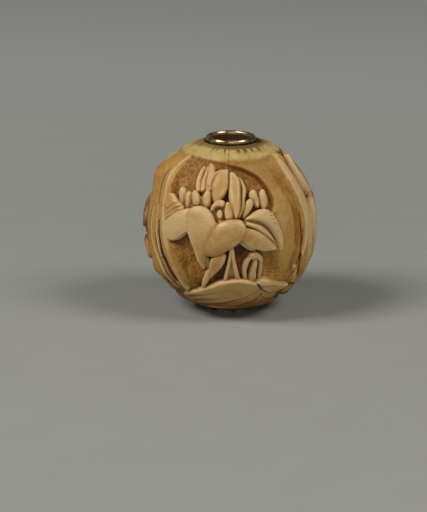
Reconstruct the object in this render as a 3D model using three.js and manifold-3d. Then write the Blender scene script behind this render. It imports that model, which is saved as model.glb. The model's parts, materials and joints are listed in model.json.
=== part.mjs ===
import * as THREE from "three";
import { mergeVertices } from "three/addons/utils/BufferGeometryUtils.js";
import Module from "manifold-3d";

// A carved cord bead, in millimetres. The cord bore runs along Z, and the bead stands on the
// crest of its lower eyelet at z = 0. The flower that faces -Y is the front.

// The turned ball
const ballRadius = 8.5;
const ballHalfHeight = 9.1;
const overallHeight = 17.6;
const collarRadius = 4.6;
const roundSteps = 32;
const ballSteps = 10;
const groundSteps = 8;
const groundSides = 16;

// The bore and its eyelets
const boreRadius = 2.0;
const shankWall = 0.25;
const shankLength = 3.0;
const shankClearance = 0.05;
const counterboreSpare = 0.3;
const rimHeight = 0.36;
const rimWidth = 0.52;
const crestWidth = 0.14;
const rimSteps = 4;
const beddingHeight = 0.12;
const beddingWidth = 0.32;
const beddingGap = 0.01;

// The carving
const panelCount = 3;
const panelRadius = 5.9;
const panelLeft = 0.86;
const panelDown = 0.27;
const leanDegrees = 15;
const reliefDepth = 0.95;
const rootDepth = 0.35;
const overrun = 1.2;
const bluntShare = 0.35;
const leafBluntShare = 0.12;
const stepShare = 0.01;

// Outline of the sunk ground of one panel, in shares of the panel's radius: across, up
const windowShares = [
  [-0.36, 1.1],
  [-0.1, 1.08],
  [0.2, 1.04],
  [0.5, 0.92],
  [0.74, 0.7],
  [0.91, 0.4],
  [1.0, 0.05],
  [1.01, -0.35],
  [0.94, -0.72],
  [0.78, -0.98],
  [0.4, -0.98],
  [0, -1.06],
  [-0.4, -1.14],
  [-0.66, -1.08],
  [-0.87, -0.86],
  [-1.02, -0.55],
  [-1.06, -0.2],
  [-1.02, 0.2],
  [-0.93, 0.55],
  [-0.82, 0.82],
  [-0.64, 1.06],
];

// Raised forms of one flower. Places, half width and bow are in shares of the panel's radius,
// and lifts and crown are in shares of the relief's depth.
// base across, base up, tip across, tip up, half width, bow, fullness, lift at base, at tip, crown
const slimShares = [
  [-0.41, 0.42, -0.44, 0.89, 0.05, 0.02, 0.6, 0.4, 0.45, 0.2],
  [-0.33, 0.4, -0.36, 0.93, 0.055, 0.02, 0.6, 0.5, 0.5, 0.2],
  [-0.25, 0.36, -0.22, 1.04, 0.075, 0.03, 0.6, 0.55, 0.55, 0.2],
  [0.36, 0.02, 0.28, 0.82, 0.065, -0.09, 0.7, 0.6, 0.6, 0.2],
  [-0.68, 0.24, -0.74, 0.63, 0.062, 0, 0.5, 0.35, 0.5, 0.3],
  [-0.58, 0.19, -0.63, 0.57, 0.062, 0, 0.5, 0.4, 0.55, 0.3],
  [-0.45, 0.2, -0.48, 0.58, 0.07, 0, 0.5, 0.45, 0.6, 0.3],
  [-0.28, 0.16, -0.27, 0.6, 0.076, 0, 0.5, 0.5, 0.65, 0.3],
  [0.6, 0.17, 0.5, 0.58, 0.066, 0, 0.5, 0.4, 0.6, 0.3],
  [0.74, 0.12, 0.66, 0.62, 0.066, 0, 0.5, 0.35, 0.5, 0.3],
  [0.4, 0.08, 0.5, 0.39, 0.06, 0, 0.5, 0.5, 0.6, 0.3],
  [0.13, -0.04, 0.08, 0.38, 0.07, 0, 0.6, 0.7, 0.75, 0.25],
  [-0.2, 0.18, 0.03, 0.3, 0.055, 0.09, 0.4, 0.6, 0.75, 0.25],
  [-0.06, -0.02, -0.06, 0.26, 0.07, 0, 0.5, 0.6, 0.6, 0.25],
  [-0.29, -1.16, -0.3, -0.56, 0.06, 0, 0.25, 0.55, 0.6, 0.25],
  [-0.25, -1.08, -0.01, -0.4, 0.13, -0.04, 0.7, 0.45, 0.6, 0.25],
  [0.06, -1.1, 0.15, -0.42, 0.05, 0, 0.2, 0.45, 0.6, 0.2],
  [0.28, -1.1, 0.17, -0.42, 0.05, 0, 0.2, 0.45, 0.6, 0.2],
  [0.36, -0.62, 0.68, -0.62, 0.06, 0.12, 0.4, 0.55, 0.55, 0.25],
  [0.36, -0.96, 0.47, -0.56, 0.05, 0.04, 0.4, 0.45, 0.6, 0.25],
  [0.53, -0.97, 0.52, -0.52, 0.055, 0, 0.4, 0.5, 0.6, 0.25],
  [0.68, -0.8, 0.58, -0.54, 0.045, -0.03, 0.4, 0.45, 0.6, 0.25],
];
const petalShares = [
  [-0.07, 0.22, -0.03, 0.94, 0.19, 0.02, 0.55, 0.5, 0.8, 0.3],
  [0.2, -0.06, 0.19, 0.88, 0.115, -0.02, 0.7, 0.7, 0.8, 0.3],
  [-0.42, -0.1, -1.05, -0.03, 0.235, 0, 0.4, 0.75, 0.85, 0.3],
  [0.24, -0.14, 0.96, -0.45, 0.215, 0, 0.5, 0.75, 0.85, 0.3],
  [0.34, 0.02, 0.94, -0.33, 0.06, 0.07, 0.4, 0.85, 0.8, 0.2],
  [0.34, 0.08, 1.0, -0.42, 0.09, 0.2, 0.4, 0.9, 1.0, 0.3],
  [-0.3, -0.66, 0.36, 0.02, 0.26, 0.03, 0.5, 0.7, 0.95, 0.35],
  [-0.28, -0.72, -0.43, 0.31, 0.235, 0, 0.5, 0.7, 1.0, 0.35],
];
// Paths between the panels: azimuth in degrees, height in shares of the ball's half height
const ribShares = [
  [-59, 0.8],
  [-59, 0.6],
  [-55.5, 0.42],
  [-52, 0.18],
  [-51, -0.08],
  [-47, -0.3],
  [-42, -0.62],
];
const stripShares = [
  [50, 0.78],
  [49, 0.55],
  [50.5, 0.3],
  [50.5, 0],
  [50, -0.3],
  [48, -0.6],
];
const footLeaves = [
  {
    shares: [
      [32, -0.5],
      [5, -0.555],
      [-24, -0.67],
      [-53, -0.735],
    ],
    halfWidth: 0.74,
  },
  {
    shares: [
      [8, -0.43],
      [30, -0.495],
      [53, -0.56],
    ],
    halfWidth: 0.44,
  },
];
const footFullness = 0.6;
const footLiftShare = 1.2;
const footCrownShare = 0.14;
const ribHalfWidth = 0.26;
const ribLiftShare = 0.98;
const ribCrownShare = 0.2;
const stripHalfWidth = 0.38;
const stripDepthShare = 0.3;
const pathRows = 6;
const windowSteps = 24;
const slimRows = 3;
const slimColumns = 2;
const leafRows = 4;
const leafColumns = 3;

const middleHeight = overallHeight / 2;
const counterboreRadius = boreRadius + shankWall + shankClearance;
const seatHeight = middleHeight - rimHeight - beddingHeight;
const collarLip = counterboreRadius + beddingWidth;
const lean = THREE.MathUtils.degToRad(leanDegrees);

const wasm = await Module();
wasm.setup();

// A closed three.js geometry becomes a solid that can be joined and cut.
function toSolid(geometry) {
  const bare = geometry.clone();
  bare.deleteAttribute("normal");
  bare.deleteAttribute("uv");
  const merged = mergeVertices(bare);
  const corners = merged.index.array;
  const kept = [];
  for (let i = 0; i < corners.length; i += 3) {
    const [a, b, c] = corners.slice(i, i + 3);
    if (a !== b && b !== c && c !== a) kept.push(a, b, c);
  }
  const vertProperties = new Float32Array(merged.attributes.position.array);
  const triVerts = new Uint32Array(kept);
  return new wasm.Manifold(new wasm.Mesh({ numProp: 3, vertProperties, triVerts }));
}

function toGeometry(solid) {
  const mesh = solid.getMesh();
  const geometry = new THREE.BufferGeometry();
  geometry.setAttribute("position", new THREE.BufferAttribute(mesh.vertProperties, 3));
  geometry.setIndex(new THREE.BufferAttribute(mesh.triVerts, 1));
  return geometry;
}

// A closed outline turned round the bore; its points run so that the faces look outwards.
function turned(outline, sides = roundSteps) {
  const points = outline.map(([radius, height]) => new THREE.Vector2(radius, height));
  const geometry = new THREE.LatheGeometry(points, sides);
  geometry.rotateX(Math.PI / 2);
  return geometry;
}

// Points of the ball's outline, from a low height up to a high one, at a depth under its surface.
function ballOutline(lowHeight, highHeight, depth, steps) {
  const across = ballRadius - depth;
  const up = ballHalfHeight - depth;
  const low = Math.asin(lowHeight / up);
  const high = Math.asin(highHeight / up);
  const outline = [];
  for (let step = 0; step <= steps; step += 1) {
    const angle = low + (high - low) * (step / steps);
    outline.push([across * Math.cos(angle), up * Math.sin(angle)]);
  }
  return outline;
}

// Where a point of the drawing plane meets the ball's surface. The plane leans back and faces
// the panel, so that a flower is laid out as the eye sees it.
function castOnBall(across, up) {
  const rise = new THREE.Vector3(0, Math.sin(lean), Math.cos(lean));
  const out = new THREE.Vector3(0, -Math.cos(lean), Math.sin(lean));
  const start = rise.multiplyScalar(up).setX(across);
  const flat = (v) => new THREE.Vector3(v.x / ballRadius, v.y / ballRadius, v.z / ballHalfHeight);
  const a = flat(out).lengthSq();
  const b = flat(out).dot(flat(start));
  const c = flat(start).lengthSq() - 1;
  const reach = (-b + Math.sqrt(Math.max(0, b * b - a * c))) / a;
  return start.addScaledVector(out, reach);
}

function panelPoint(acrossShare, upShare) {
  return castOnBall(acrossShare * panelRadius - panelLeft, upShare * panelRadius - panelDown);
}

function azimuthPoint(azimuth, heightShare) {
  const angle = THREE.MathUtils.degToRad(azimuth);
  const radius = ballRadius * Math.sqrt(1 - heightShare * heightShare);
  const height = ballHalfHeight * heightShare;
  return new THREE.Vector3(radius * Math.sin(angle), -radius * Math.cos(angle), height);
}

function ontoBall(point) {
  const x = point.x / ballRadius;
  const y = point.y / ballRadius;
  const z = point.z / ballHalfHeight;
  return point.clone().divideScalar(Math.hypot(x, y, z));
}

function ballNormal(point) {
  const across = ballRadius * ballRadius;
  const up = ballHalfHeight * ballHalfHeight;
  return new THREE.Vector3(point.x / across, point.y / across, point.z / up).normalize();
}

// A closed body over a strip of the ball: a path runs along it, and at each row it has a half
// width. Its floor and top are heights over the sunk ground, square to the ball.
function strip(path, halfWidth, floor, top, rows, columns) {
  const positions = [];
  const row = columns + 1;
  const layer = (rows + 1) * row;
  for (const height of [floor, top]) {
    for (let i = 0; i <= rows; i += 1) {
      const even = i / rows;
      const t = (even + (1 - Math.cos(Math.PI * even)) / 2) / 2;
      const along = path(Math.min(1, t + stepShare)).sub(path(Math.max(0, t - stepShare)));
      const centre = path(t);
      const side = along.cross(ballNormal(centre)).normalize();
      for (let j = 0; j <= columns; j += 1) {
        const x = (2 * j) / columns - 1;
        const place = ontoBall(centre.clone().addScaledVector(side, x * halfWidth(t)));
        place.addScaledVector(ballNormal(place), height(t, x) - reliefDepth);
        positions.push(place.x, place.y, place.z);
      }
    }
  }
  const index = [];
  const face = (a, b, c, d) => index.push(a, b, c, a, c, d);
  for (let i = 0; i < rows; i += 1) {
    for (let j = 0; j < columns; j += 1) {
      const corner = i * row + j;
      face(corner, corner + row, corner + row + 1, corner + 1);
      face(layer + corner, layer + corner + 1, layer + corner + row + 1, layer + corner + row);
    }
    const left = i * row;
    const right = left + columns;
    face(left, layer + left, layer + left + row, left + row);
    face(right, right + row, layer + right + row, layer + right);
  }
  for (let j = 0; j < columns; j += 1) {
    const last = rows * row + j;
    face(j, j + 1, layer + j + 1, layer + j);
    face(last, layer + last, layer + last + 1, last + 1);
  }
  const geometry = new THREE.BufferGeometry();
  geometry.setAttribute("position", new THREE.Float32BufferAttribute(positions, 3));
  geometry.setIndex(index);
  return toSolid(geometry);
}

// Half width along a leaf: widest in the middle, and a blunt share of that at its two ends.
function leafWidth(widest, blunt, fullness) {
  return (t) => widest * (blunt + (1 - blunt) * Math.sin(Math.PI * t) ** fullness);
}

// A petal, finger, stem or leaf of a flower, from one row of a table.
function raised(shares, rows, columns) {
  const [baseAcross, baseUp, tipAcross, tipUp, width, bow, fullness, baseLift, tipLift, crown] = shares;
  const runAcross = tipAcross - baseAcross;
  const runUp = tipUp - baseUp;
  const length = Math.hypot(runAcross, runUp);
  const path = (t) => {
    const swell = (4 * t * (1 - t) * bow) / length;
    return panelPoint(baseAcross + runAcross * t - runUp * swell, baseUp + runUp * t + runAcross * swell);
  };
  const halfWidth = leafWidth(width * panelRadius, bluntShare, fullness);
  const buried = () => -rootDepth;
  const top = (t, x) => {
    const ridge = baseLift + (tipLift - baseLift) * t + crown * Math.sin(Math.PI * t);
    return reliefDepth * (ridge - crown * x * x);
  };
  return strip(path, halfWidth, buried, top, rows, columns);
}

function pathOver(shares) {
  const places = shares.map(([azimuth, height]) => new THREE.Vector3(azimuth, height, 0));
  const curve = new THREE.CatmullRomCurve3(places);
  return (t) => {
    const place = curve.getPoint(t);
    return azimuthPoint(place.x, place.y);
  };
}

// The sunk ground of one panel, with walls square to the ball, as the raised forms have.
function windowCutter(ground) {
  const curve = new THREE.CatmullRomCurve3(
    windowShares.map(([across, up]) => new THREE.Vector3(across, up, 0)),
    true,
  );
  const places = curve.getPoints(windowSteps).slice(0, -1);
  const positions = [];
  for (const height of [-reliefDepth - rootDepth - overrun, 2 * overrun]) {
    for (const place of [{ x: 0, y: 0 }, ...places]) {
      const point = panelPoint(place.x, place.y);
      point.addScaledVector(ballNormal(point), height);
      positions.push(point.x, point.y, point.z);
    }
  }
  const index = [];
  const layer = places.length + 1;
  for (let i = 0; i < places.length; i += 1) {
    const here = 1 + i;
    const next = 1 + ((i + 1) % places.length);
    index.push(0, here, next);
    index.push(layer, layer + next, layer + here);
    index.push(here, layer + next, next, here, layer + here, layer + next);
  }
  const geometry = new THREE.BufferGeometry();
  geometry.setAttribute("position", new THREE.Float32BufferAttribute(positions, 3));
  geometry.setIndex(index);
  return toSolid(geometry).subtract(ground);
}

// The turned blank: ball, two collars, bore and the two counterbores for the eyelets.
function turnedBlank() {
  const collarHeight = ballHalfHeight * Math.sqrt(1 - (collarRadius / ballRadius) ** 2);
  const counterboreFloor = seatHeight + beddingHeight - shankLength - counterboreSpare;
  const outline = [
    [boreRadius, -counterboreFloor],
    [counterboreRadius, -counterboreFloor],
    [counterboreRadius, -seatHeight],
    [collarLip, -seatHeight],
    ...ballOutline(-collarHeight, collarHeight, 0, ballSteps),
    [collarLip, seatHeight],
    [counterboreRadius, seatHeight],
    [counterboreRadius, counterboreFloor],
    [boreRadius, counterboreFloor],
    [boreRadius, -counterboreFloor],
  ];
  return toSolid(turned(outline));
}

function carvedBody() {
  const groundTop = ballHalfHeight - reliefDepth;
  const ground = toSolid(turned(ballOutline(-groundTop, groundTop, reliefDepth, groundSteps), groundSides));
  const buried = () => -rootDepth;
  const stripFloor = () => reliefDepth * (1 - stripDepthShare);
  const stripTop = () => reliefDepth + overrun;
  const ridge = (lift, crown) => (t, x) => reliefDepth * (lift - crown * x * x);
  const even = (halfWidth) => () => halfWidth;
  const cuts = [
    windowCutter(ground),
    strip(pathOver(stripShares), even(stripHalfWidth), stripFloor, stripTop, pathRows, slimColumns),
  ];
  const ribTop = ridge(ribLiftShare, ribCrownShare);
  const footTop = ridge(footLiftShare, footCrownShare);
  const footLeaf = ({ shares, halfWidth }) => {
    const width = leafWidth(halfWidth, leafBluntShare, footFullness);
    return strip(pathOver(shares), width, buried, footTop, leafRows, slimColumns);
  };
  const forms = [
    ...slimShares.map((shares) => raised(shares, slimRows, slimColumns)),
    ...petalShares.map((shares) => raised(shares, leafRows, leafColumns)),
    ...footLeaves.map(footLeaf),
    strip(pathOver(ribShares), even(ribHalfWidth), buried, ribTop, pathRows, slimColumns),
  ];
  const around = (solid, panel) => solid.rotate([0, 0, (360 * panel) / panelCount]);
  let body = turnedBlank();
  for (let panel = 0; panel < panelCount; panel += 1) {
    for (const cut of cuts) body = body.subtract(around(cut, panel));
  }
  for (let panel = 0; panel < panelCount; panel += 1) {
    for (const form of forms) body = body.add(around(form, panel));
  }
  return toGeometry(body);
}

// An eyelet: a rolled rim with a narrow flat crest, and a shank that goes down the bore.
function eyelet() {
  const rimMiddle = boreRadius + rimWidth / 2;
  const underside = seatHeight + beddingHeight;
  const outline = [
    [boreRadius, underside - shankLength],
    [boreRadius + shankWall, underside - shankLength],
    [boreRadius + shankWall, underside],
  ];
  for (const side of [1, -1]) {
    for (let step = 0; step <= rimSteps; step += 1) {
      const turn = (side > 0 ? step : rimSteps - step) / rimSteps;
      const angle = (turn * Math.PI) / 2;
      const reach = crestWidth / 2 + (rimWidth / 2 - crestWidth / 2) * Math.cos(angle);
      outline.push([rimMiddle + side * reach, underside + rimHeight * Math.sin(angle)]);
    }
  }
  outline.push([boreRadius, underside - shankLength]);
  return turned(outline);
}

// The thin bed of lacquer between a rim and its collar.
function bedding() {
  const low = seatHeight + beddingGap;
  const high = seatHeight + beddingHeight - beddingGap;
  const outline = [
    [counterboreRadius, low],
    [collarLip, low],
    [collarLip, high],
    [counterboreRadius, high],
    [counterboreRadius, low],
  ];
  return turned(outline);
}

const ivory = { color: 0xc9b184, roughness: 0.45, metalness: 0 };
const gilt = { color: 0xb9924a, roughness: 0.3, metalness: 1 };
const lacquer = { color: 0x2c1a0e, roughness: 0.6, metalness: 0 };

const bead = new THREE.Group();
bead.position.z = middleHeight;

function add(name, geometry, finish, flipped) {
  const mesh = new THREE.Mesh(geometry, new THREE.MeshStandardMaterial(finish));
  mesh.name = name;
  if (flipped) mesh.rotation.x = Math.PI;
  bead.add(mesh);
}

add("carved_body", carvedBody(), ivory, false);
add("upper_eyelet", eyelet(), gilt, false);
add("lower_eyelet", eyelet(), gilt, true);
add("upper_bedding", bedding(), lacquer, false);
add("lower_bedding", bedding(), lacquer, true);

export default bead;
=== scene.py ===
# %% [markdown]
# # A carved cord bead
# The bead is a small turned ball with a cord hole through it. Three sunk panels with a flower
# in each were carved into it by hand, and a gilt eyelet lines each mouth of the hole. This
# lesson dresses the plain solids of the CAD frame: it carves the ball as a fine mesh, turns
# the eyelets, lays their dark bedding and gives every piece a procedural finish.

import json
import math
import bpy
import numpy as np
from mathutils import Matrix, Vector

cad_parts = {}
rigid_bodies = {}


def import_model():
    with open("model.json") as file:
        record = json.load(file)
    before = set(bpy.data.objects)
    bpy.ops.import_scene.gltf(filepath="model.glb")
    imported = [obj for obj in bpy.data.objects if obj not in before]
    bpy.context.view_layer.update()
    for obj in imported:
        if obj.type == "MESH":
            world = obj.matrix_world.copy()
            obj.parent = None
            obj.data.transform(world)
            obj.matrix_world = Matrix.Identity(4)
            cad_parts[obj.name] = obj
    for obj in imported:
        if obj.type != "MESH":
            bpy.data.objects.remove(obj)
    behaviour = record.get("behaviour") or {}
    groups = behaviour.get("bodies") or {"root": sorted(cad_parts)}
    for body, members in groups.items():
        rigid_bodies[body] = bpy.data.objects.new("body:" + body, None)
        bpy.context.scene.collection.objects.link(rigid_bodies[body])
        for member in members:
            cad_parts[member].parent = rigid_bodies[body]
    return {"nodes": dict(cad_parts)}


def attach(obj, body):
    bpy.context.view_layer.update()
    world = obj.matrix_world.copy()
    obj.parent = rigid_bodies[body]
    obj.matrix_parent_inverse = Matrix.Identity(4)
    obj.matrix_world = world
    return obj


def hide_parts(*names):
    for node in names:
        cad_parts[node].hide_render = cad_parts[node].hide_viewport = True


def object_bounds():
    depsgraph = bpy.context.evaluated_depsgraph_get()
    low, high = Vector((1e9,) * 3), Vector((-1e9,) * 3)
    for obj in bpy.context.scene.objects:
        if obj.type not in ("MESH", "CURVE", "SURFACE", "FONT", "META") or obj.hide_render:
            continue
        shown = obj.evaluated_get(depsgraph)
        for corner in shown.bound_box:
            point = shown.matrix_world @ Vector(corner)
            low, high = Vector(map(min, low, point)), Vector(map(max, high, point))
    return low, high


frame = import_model()
cad_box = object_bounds()
print("CAD nodes:", sorted(frame["nodes"]))
print("CAD box in mm:", [round(1000 * side, 2) for side in cad_box[1] - cad_box[0]])

# %% [markdown]
# ## Sizes
# All work below is in millimetres from the middle of the ball, because a carver thinks of a
# bead that way. Blender wants metres from the table, so one helper changes over at the end.
# The frame gives the height of the ball's middle; the other sizes are those of the CAD.

# %% Sizes of the turned ball, in millimetres
MM = 0.001
MIDDLE = 500 * (cad_box[0].z + cad_box[1].z)
BALL_RADIUS = 8.5
BALL_HALF_HEIGHT = 9.1
COLLAR_RADIUS = 4.6
LIP_RADIUS = 2.62
COUNTERBORE_RADIUS = 2.3
BORE_RADIUS = 2.0
SEAT_HEIGHT = 8.32
COUNTERBORE_FLOOR = 5.14
RELIEF = 0.95
LEAN = math.radians(15)
PANELS = 3
COLUMNS = 1080
BALL_ROWS = 340
COLLAR_ROWS = 22
rng = np.random.default_rng(7)


def to_frame(points):
    """Millimetres from the ball's middle become metres in the frame."""
    placed = np.array(points, float)
    placed[..., 2] += MIDDLE
    return placed * MM


print("middle of the ball stands", round(MIDDLE, 3), "mm above the table")

# %% [markdown]
# ## The blank as a grid
# A turned blank is a profile swept round the bore. Here the profile is a closed loop of
# heights and radii: up the outside, over the collar, down the bore and out again. Swept in
# many fine columns it gives a grid whose outer rows can be pushed in or out along the ball's
# own normal, which is what a carver's tool does.

# %% Rows of the ball's outside
collar_edge_height = BALL_HALF_HEIGHT * math.sqrt(1 - (COLLAR_RADIUS / BALL_RADIUS) ** 2)
edge_angle = math.asin(collar_edge_height / BALL_HALF_HEIGHT)
latitude = np.linspace(-edge_angle, edge_angle, BALL_ROWS)[:, None]
azimuth = (np.arange(COLUMNS) * 2 * math.pi / COLUMNS - math.pi)[None, :]


def round_the_bore(radius, turn, level):
    """Points from a radius, a direction round the bore and a level."""
    sides = (radius * np.sin(turn), -radius * np.cos(turn), level)
    return np.stack(np.broadcast_arrays(*sides), axis=-1)


ball = round_the_bore(BALL_RADIUS * np.cos(latitude), azimuth, BALL_HALF_HEIGHT * np.sin(latitude))
outward = ball / np.array([BALL_RADIUS**2, BALL_RADIUS**2, BALL_HALF_HEIGHT**2])
outward /= np.linalg.norm(outward, axis=-1, keepdims=True)
CELL = 2 * math.pi * BALL_RADIUS / COLUMNS
print("grid cell at the waist:", round(CELL, 3), "mm")

# %% [markdown]
# ## The drawing
# A carver draws the flower on the ball as the eye sees it, then cuts. The drawing plane faces
# the panel and leans back by 15 degrees. Each vertex of the front half gets its place in that
# drawing: how far across and how far up. Outlines are written as pairs of across and up in
# tenths of a millimetre, and a closed curve through the corners rounds them.

# %% Where each vertex lies in the drawing
DRAWING_SHIFT = np.array([-0.06, 0.03])
TENTH = 0.1
FRONT = 0.4


def in_drawing(points):
    """Across and up in the drawing, which leans back with the flower."""
    up = points[..., 1] * math.sin(LEAN) + points[..., 2] * math.cos(LEAN)
    return np.stack([points[..., 0], up], axis=-1)


drawing = in_drawing(ball)
across, up = drawing[..., 0], drawing[..., 1]
facing = -ball[..., 1] * math.cos(LEAN) + ball[..., 2] * math.sin(LEAN)


def curve_through(corners, closed=True, step=0.05):
    """A Catmull-Rom curve through the corners, sampled about every step millimetres."""
    p = corners
    if closed:
        p = np.concatenate([p[-1:], p, p[:2]])
    else:
        p = np.concatenate([2 * p[:1] - p[1:2], p, 2 * p[-1:] - p[-2:-1]])
    samples = []
    for a, b, c, d in zip(p[:-3], p[1:-2], p[2:-1], p[3:]):
        count = max(2, int(np.linalg.norm(c - b) / step))
        t = (np.arange(count) / count)[:, None]
        samples.append(
            0.5 * (2 * b + (c - a) * t + (2 * a - 5 * b + 4 * c - d) * t**2
                   + (3 * b - 3 * c + d - a) * t**3)
        )
    if not closed:
        samples.append(p[-2:-1])
    return np.concatenate(samples)


def pairs(path):
    """The corners of a path that is written as "1,2 3,4" and so on."""
    return np.array([corner.split(",") for corner in path.split()], float)


def drawn(path):
    """Corners in tenths of a millimetre become places in the drawing."""
    return pairs(path) * TENTH + DRAWING_SHIFT


def nearest(curve, places, closed=True):
    """Distance from each place to the curve, and which sample of the curve is nearest."""
    gap = places[:, None, :] - curve[None, :, :]
    square = (gap**2).sum(-1)
    index = square.argmin(1)
    best = np.sqrt(square.min(1))
    for side in (-1, 1):
        other = (index + side) % len(curve) if closed else np.clip(index + side, 0, len(curve) - 1)
        run = curve[other] - curve[index]
        length = np.maximum((run**2).sum(-1), 1e-12)
        t = np.clip(((places - curve[index]) * run).sum(-1) / length, 0, 1)
        best = np.minimum(best, np.linalg.norm(places - curve[index] - run * t[:, None], axis=-1))
    return best, index, square


def in_parts(work, places, size=4000):
    """Do the work on a few thousand places at a time, so that memory stays small."""
    starts = range(0, max(1, len(places)), size)
    return [np.concatenate(part) for part in zip(*(work(places[k : k + size]) for k in starts))]


def depth_in(curve, picked):
    """How deep inside a closed curve the picked vertices lie, sharp and softened."""
    ahead = np.roll(curve, -1, axis=0)
    run = ahead - curve
    rise = np.where(run[:, 1] == 0, 1e-9, run[:, 1])
    spacing = np.linalg.norm(run, axis=-1)

    def part(places):
        away, _, square = nearest(curve, places)
        pull = (spacing / np.maximum(square, 0.02**2) ** 1.5).sum(1)
        crosses = (curve[:, 1] > places[:, 1:]) != (ahead[:, 1] > places[:, 1:])
        x = curve[:, 0] + (places[:, 1:] - curve[:, 1]) / rise * run[:, 0]
        within = (crosses & (places[:, :1] < x)).sum(1) % 2 == 1
        return np.where(within, away, -away), np.where(within, math.sqrt(2) / np.sqrt(pull), 0)

    return in_parts(part, drawing[picked])


def in_box(places, curve, margin):
    """Which places lie in the curve's box, with a margin round it."""
    return np.all((places > curve.min(0) - margin) & (places < curve.max(0) + margin), axis=-1)


def near(curve, margin):
    """The vertices on the front whose place in the drawing is in the curve's box."""
    return (facing > FRONT) & in_box(drawing, curve, margin)


print("vertices of the ball that face the front:", int((facing > 0).sum()))

# %% [markdown]
# ## The sunk ground
# The ground is cut back by nearly a millimetre inside a rounded outline. Its wall is steep
# along the top and the right, where a dark arc of grime and painted shade follows its foot, and
# runs out softly at the lower right, where the carver let it fade.

# %% Cut the ground of one panel
WALL_WIDTH = 0.2
SOFT_WALL_WIDTH = 1.3
BAND_LEVEL = 0.83
SHALLOW = 0.34
ground_outline = (
    "-39,65 -46,57 -52,48 -56,40 -60,29 -65,14 -67,-10 -62,-24 -55,-38 -47,-51 -39,-62 -28,-70 "
    "-8,-68 16,-63 34,-61 46,-56 51,-44 49,-34 45,-27 44,-16 42,-6 42.5,6 44,15 40,28 29,42 "
    "14,51 -4,56 -20,60 -32,65"
)


def step_up(value):
    """A soft step from 0 to 1."""
    t = np.clip(value, 0, 1)
    return t * t * (3 - 2 * t)


curve = curve_through(drawn(ground_outline))
picked = near(curve, 1.5)
deep, _ = depth_in(curve, picked)
ground, in_window, soft_side, arc = np.zeros((4, *across.shape))
x, y = across[picked], up[picked]
# the wall fades out at the lower right and, less so, at the lower left
fade = step_up((x - 3.4) / 1.2) * step_up((-2.2 - y) / 1.0)
fade += 0.55 * step_up((-4.4 - x) / 1.0) * step_up((-1.6 - y) / 1.2)
wall = WALL_WIDTH + (SOFT_WALL_WIDTH - WALL_WIDTH) * fade
down = step_up(deep / wall + 0.1 * (1 - fade))
# the ground rises again towards the left, the top and the foot
from_left, from_top = step_up((-2.5 - x) / 1.5), step_up((x + y - 1.5) / 3)
shallow = (SHALLOW * from_left + 0.5 * from_top) * np.exp(-np.clip(deep, 0, 9) / 0.8)
shallow += 0.42 * step_up((y - 4.7) / 1.2) * step_up((0.5 - x) / 1.0)
shallow += 0.4 * step_up((-4.4 - y) / 1.6)
soft_side[picked] = step_up((x - 2.8) / 1.0) * step_up((-2.4 - y) / 1.0)
ground += BAND_LEVEL
ground[picked] = BAND_LEVEL * (1 - down) + shallow * down
in_window[picked] = step_up(deep / (0.08 + 0.8 * fade) + 0.3)
# the dark arc along the foot of the wall is grime and painted shade, strongest at the upper right
arc_share = 0.08 + 0.42 * step_up((x + 2.2) / 1.0) * step_up((y - 0.5) / 1.5)
arc[picked] = arc_share * np.exp(-(((deep - 0.1) / 0.13) ** 2))
print("ground cut back by", RELIEF, "mm over", int((ground < 0.1).sum()), "vertices")

# %% [markdown]
# ## The flower
# Every petal, finger and stem is an outline with a height at two anchor places, a crown that
# swells it in the middle and a roll that rounds its edge. The height is over the sunk ground,
# and where two forms overlap the higher one wins, as in wood or ivory that has been cut away
# around it. Below its edge a form drops in a steep skirt.

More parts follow.
